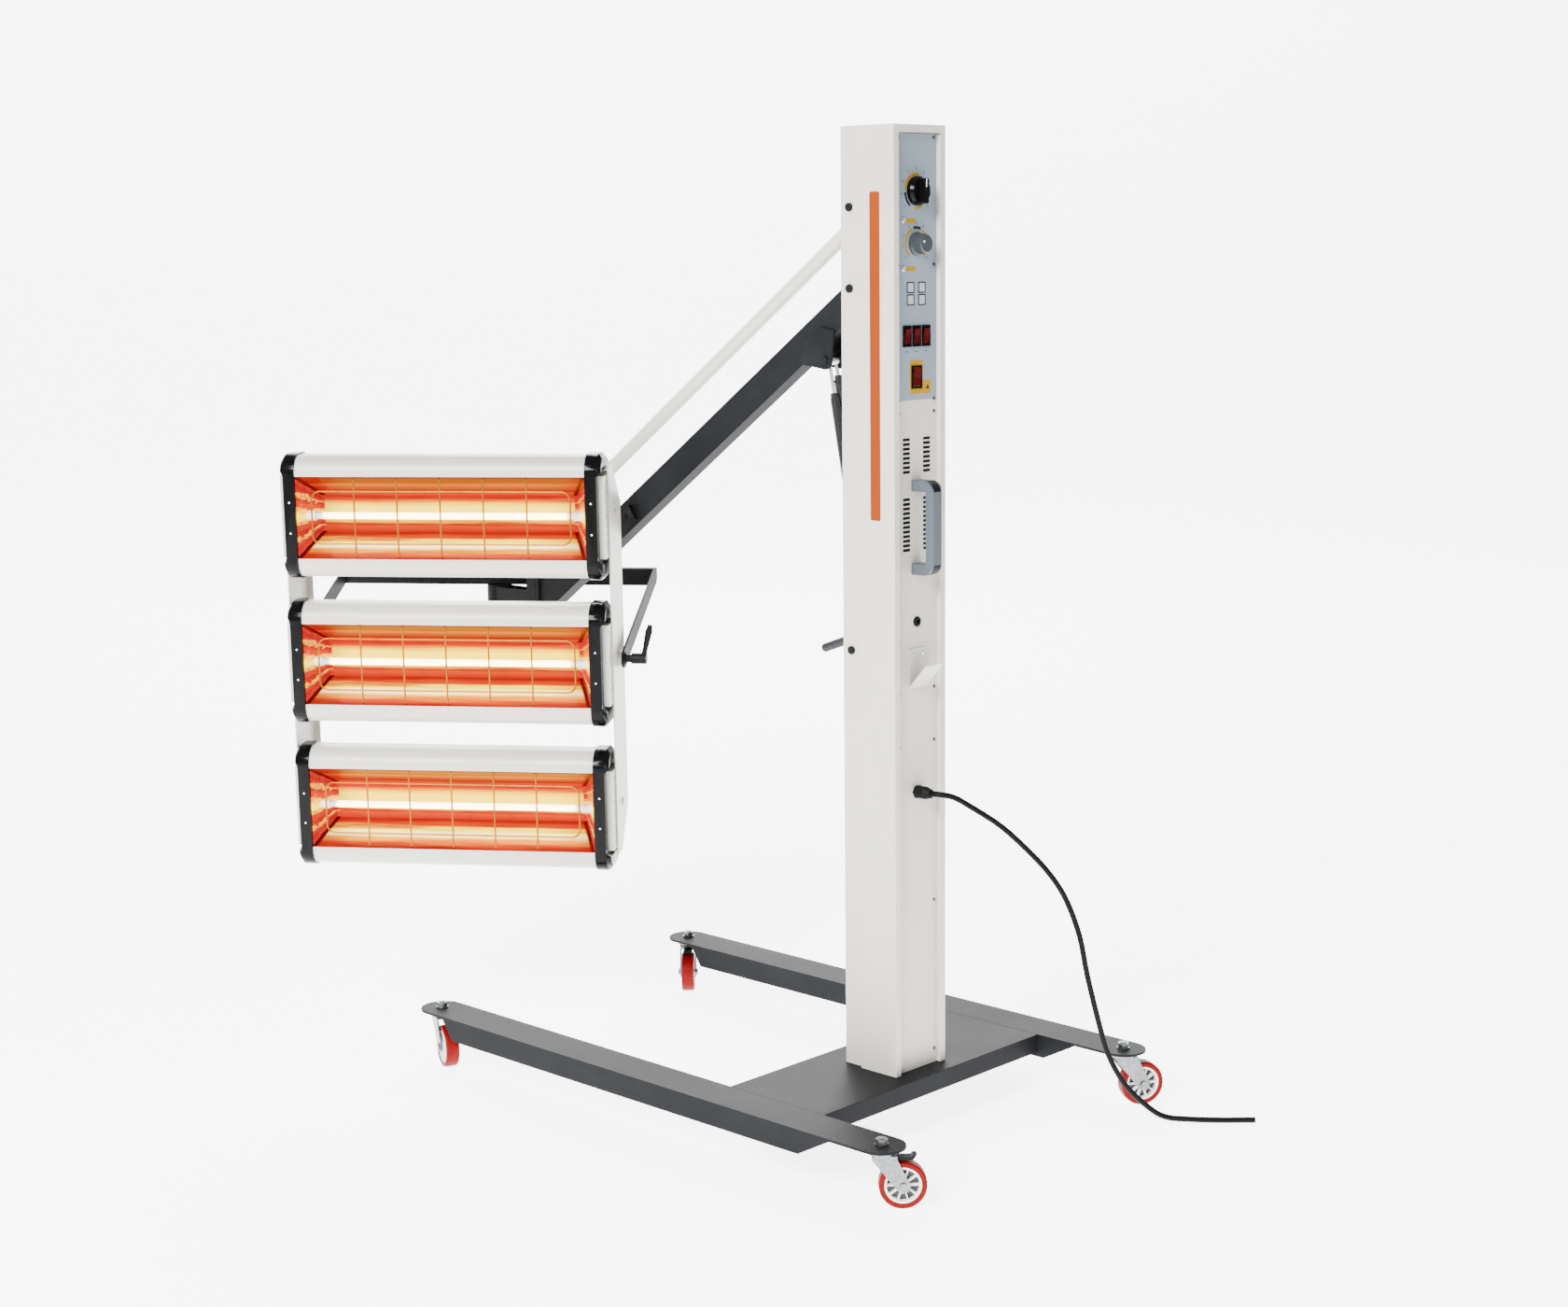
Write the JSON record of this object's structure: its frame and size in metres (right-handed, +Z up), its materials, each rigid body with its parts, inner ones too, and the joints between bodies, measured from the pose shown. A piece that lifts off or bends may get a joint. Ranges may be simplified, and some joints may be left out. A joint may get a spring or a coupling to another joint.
{
  "type": "infrared curing lamp",
  "caption": "Wheeled infrared curing lamp: a cabinet mast with a gas-sprung parallelogram arm, swivelling yoke and a head of stacked lamp cassettes.",
  "frame": {"origin": "on the floor, under the middle of the whole outline without its cord", "axes": "+Z up; +Y the way the legs and the arm point; -Y the operator's side with the control panel; -X the side that the lamps' left end reaches"},
  "size_m": [0.8901, 1.7049, 1.64],
  "materials": {
    "graphite": "satin dark grey powder coat",
    "cream": "semi-gloss off-white powder coat",
    "panel_grey": "satin blue-grey panel",
    "zinc": "zinc plate",
    "black_plastic": "gloss black",
    "matte_black": "matt black",
    "grey_plastic": "grey grained plastic",
    "red_plastic": "translucent red",
    "rubber": "dark grey rubber",
    "cable": "black cord",
    "housing": "white powder coat on extruded aluminium",
    "mirror": "polished gold-toned reflector",
    "quartz": "clear quartz, glowing when lit",
    "wire": "bright wire",
    "tyre": "red polyurethane tyre on a white hub",
    "rod": "hard chrome",
    "strut_black": "gloss black paint",
    "switchgear": "moulded switch bodies",
    "bolt_black": "blackened steel"
  },
  "bodies": {
    "stand": {"left_leg": "graphite", "right_leg": "graphite", "cross_plate": "graphite", "mast_channel": "cream", "rear_cover": "cream", "control_panel": "panel_grey", "lower_panel": "cream", "panel_screws": "zinc", "panel_fittings": "black_plastic", "panel_switchgear": "switchgear", "pull_handle": "grey_plastic", "hook_bracket": "cream", "cable_grommet": "matte_black", "cord_gland": "matte_black", "power_cord": "cable", "pivot_bolts": "bolt_black", "caster_bolts": "zinc", "rest_peg": "rubber"},
    "arm": {"main_beam": "graphite"},
    "link": {"upper_link": "cream"},
    "cylinders": {"strut_cylinders": "strut_black"},
    "rods": {"strut_rods": "rod"},
    "knuckle": {"arm_knuckle": "graphite"},
    "yoke": {"yoke_frame": "graphite"},
    "head": {"head_straps": "cream", "middle_housing": "housing", "middle_end_caps": "black_plastic", "middle_reflector": "mirror", "middle_quartz_tube": "quartz", "middle_guard": "wire"},
    "top_cassette": {"top_housing": "housing", "top_end_caps": "black_plastic", "top_end_plates": "cream", "top_reflector": "mirror", "top_quartz_tube": "quartz", "top_guard": "wire"},
    "bottom_cassette": {"bottom_housing": "housing", "bottom_end_caps": "black_plastic", "bottom_end_plates": "cream", "bottom_reflector": "mirror", "bottom_quartz_tube": "quartz", "bottom_guard": "wire"},
    "lever": {"clamp_lever": "matte_black"},
    "rotary": {"rotary_knob": "black_plastic"},
    "timer": {"timer_knob": "grey_plastic"},
    "rocker_1": {"lamp_rocker_1": "red_plastic"},
    "rocker_2": {"lamp_rocker_2": "red_plastic"},
    "rocker_3": {"lamp_rocker_3": "red_plastic"},
    "rocker_main": {"main_rocker": "red_plastic"},
    "left_front_caster": {"left_front_fork": "zinc"},
    "left_front_roll": {"left_front_wheel": "tyre"},
    "left_rear_caster": {"left_rear_fork": "zinc"},
    "left_rear_roll": {"left_rear_wheel": "tyre"},
    "left_rear_pedal": {"left_rear_brake": "matte_black"},
    "right_front_caster": {"right_front_fork": "zinc"},
    "right_front_roll": {"right_front_wheel": "tyre"},
    "right_front_pedal": {"right_front_brake": "matte_black"},
    "right_rear_caster": {"right_rear_fork": "zinc"},
    "right_rear_roll": {"right_rear_wheel": "tyre"}
  },
  "joints": [
    {"name": "arm_lift", "type": "hinge", "parent": "stand", "child": "arm", "pos_m": [0.064, -0.4275, 1.386], "axis": [1, 0, 0], "range_deg": [-8, 24]},
    {"name": "link_turn", "type": "hinge", "parent": "stand", "child": "link", "pos_m": [0.064, -0.4275, 1.5137], "axis": [1, 0, 0], "range_deg": [-8.1, 24.1]},
    {"name": "knuckle_level", "type": "hinge", "parent": "arm", "child": "knuckle", "pos_m": [0.064, 0.4036, 0.78659], "axis": [1, 0, 0], "range_deg": [-24.1, 8.1]},
    {"name": "strut_lean", "type": "hinge", "parent": "stand", "child": "cylinders", "pos_m": [0.064, -0.4275, 0.8026], "axis": [1, 0, 0], "range_deg": [-3.8, 1.4]},
    {"name": "strut_slide", "type": "slide", "parent": "cylinders", "child": "rods", "axis": [0, 0.1877, 0.9822], "range_m": [-0.0175, 0.0525]},
    {"name": "yoke_swivel", "type": "hinge", "parent": "knuckle", "child": "yoke", "pos_m": [0.064, 0.5196, 0.83979], "axis": [0, 0, 1], "range_deg": [-18, 2]},
    {"name": "head_tilt", "type": "hinge", "parent": "yoke", "child": "head", "pos_m": [-0.19408, 0.33209, 0.73679], "axis": [0.5878, -0.809, 0], "range_deg": [-5, 60]},
    {"name": "top_cassette_tilt", "type": "hinge", "parent": "head", "child": "top_cassette", "pos_m": [-0.20032, 0.32756, 0.99668], "axis": [0.5878, -0.809, 0], "range_deg": [-12, 12]},
    {"name": "bottom_cassette_tilt", "type": "hinge", "parent": "head", "child": "bottom_cassette", "pos_m": [-0.18784, 0.33663, 0.47691], "axis": [0.5878, -0.809, 0], "range_deg": [-12, 12]},
    {"name": "clamp_lever_turn", "type": "hinge", "parent": "head", "child": "lever", "pos_m": [-0.01657, 0.08777, 0.73679], "axis": [0.5878, -0.809, 0], "continuous": true},
    {"name": "rotary_turn", "type": "hinge", "parent": "stand", "child": "rotary", "pos_m": [0.064, -0.519, 1.5375], "axis": [0, -1, 0], "range_deg": [0, 270]},
    {"name": "timer_turn", "type": "hinge", "parent": "stand", "child": "timer", "pos_m": [0.064, -0.519, 1.4555], "axis": [0, -1, 0], "range_deg": [0, 300]},
    {"name": "rocker_1_press", "type": "hinge", "parent": "stand", "child": "rocker_1", "pos_m": [0.041, -0.519, 1.311], "axis": [1, 0, 0], "range_deg": [-16, 0]},
    {"name": "rocker_2_press", "type": "hinge", "parent": "stand", "child": "rocker_2", "pos_m": [0.064, -0.519, 1.311], "axis": [1, 0, 0], "range_deg": [-16, 0]},
    {"name": "rocker_3_press", "type": "hinge", "parent": "stand", "child": "rocker_3", "pos_m": [0.087, -0.519, 1.311], "axis": [1, 0, 0], "range_deg": [-16, 0]},
    {"name": "rocker_main_press", "type": "hinge", "parent": "stand", "child": "rocker_main", "pos_m": [0.064, -0.519, 1.246], "axis": [1, 0, 0], "range_deg": [-16, 0]},
    {"name": "left_front_swivel", "type": "hinge", "parent": "stand", "child": "left_front_caster", "pos_m": [-0.248, 0.343, 0.048], "axis": [0, 0, 1], "continuous": true},
    {"name": "left_front_spin", "type": "hinge", "parent": "left_front_caster", "child": "left_front_roll", "pos_m": [-0.26102, 0.31377, 0.0375], "axis": [0.9135, -0.4067, 0], "continuous": true},
    {"name": "left_rear_swivel", "type": "hinge", "parent": "stand", "child": "left_rear_caster", "pos_m": [-0.248, -0.713, 0.048], "axis": [0, 0, 1], "continuous": true},
    {"name": "left_rear_spin", "type": "hinge", "parent": "left_rear_caster", "child": "left_rear_roll", "pos_m": [-0.22537, -0.73563, 0.0375], "axis": [0.7071, 0.7071, 0], "continuous": true},
    {"name": "left_rear_brake_press", "type": "hinge", "parent": "left_rear_caster", "child": "left_rear_pedal", "pos_m": [-0.24015, -0.72085, 0.0796], "axis": [-0.7071, -0.7071, 0], "range_deg": [-2.5, 4]},
    {"name": "right_front_swivel", "type": "hinge", "parent": "stand", "child": "right_front_caster", "pos_m": [0.376, 0.343, 0.048], "axis": [0, 0, 1], "continuous": true},
    {"name": "right_front_spin", "type": "hinge", "parent": "right_front_caster", "child": "right_front_roll", "pos_m": [0.3526, 0.32118, 0.0375], "axis": [0.682, -0.7314, 0], "continuous": true},
    {"name": "right_front_brake_press", "type": "hinge", "parent": "right_front_caster", "child": "right_front_pedal", "pos_m": [0.36788, 0.33543, 0.0796], "axis": [-0.682, 0.7314, 0], "range_deg": [-2.5, 4]},
    {"name": "right_rear_swivel", "type": "hinge", "parent": "stand", "child": "right_rear_caster", "pos_m": [0.376, -0.713, 0.048], "axis": [0, 0, 1], "continuous": true},
    {"name": "right_rear_spin", "type": "hinge", "parent": "right_rear_caster", "child": "right_rear_roll", "pos_m": [0.40314, -0.72996, 0.0375], "axis": [0.5299, 0.848, 0], "continuous": true}
  ],
  "couplings": [
    {"joint": "link_turn", "follows": "arm_lift", "ratio": 1},
    {"joint": "knuckle_level", "follows": "arm_lift", "ratio": -1},
    {"joint": "strut_lean", "follows": "arm_lift", "ratio": -0.155},
    {"joint": "strut_slide", "follows": "arm_lift", "m_per_rad": 0.124}
  ]
}
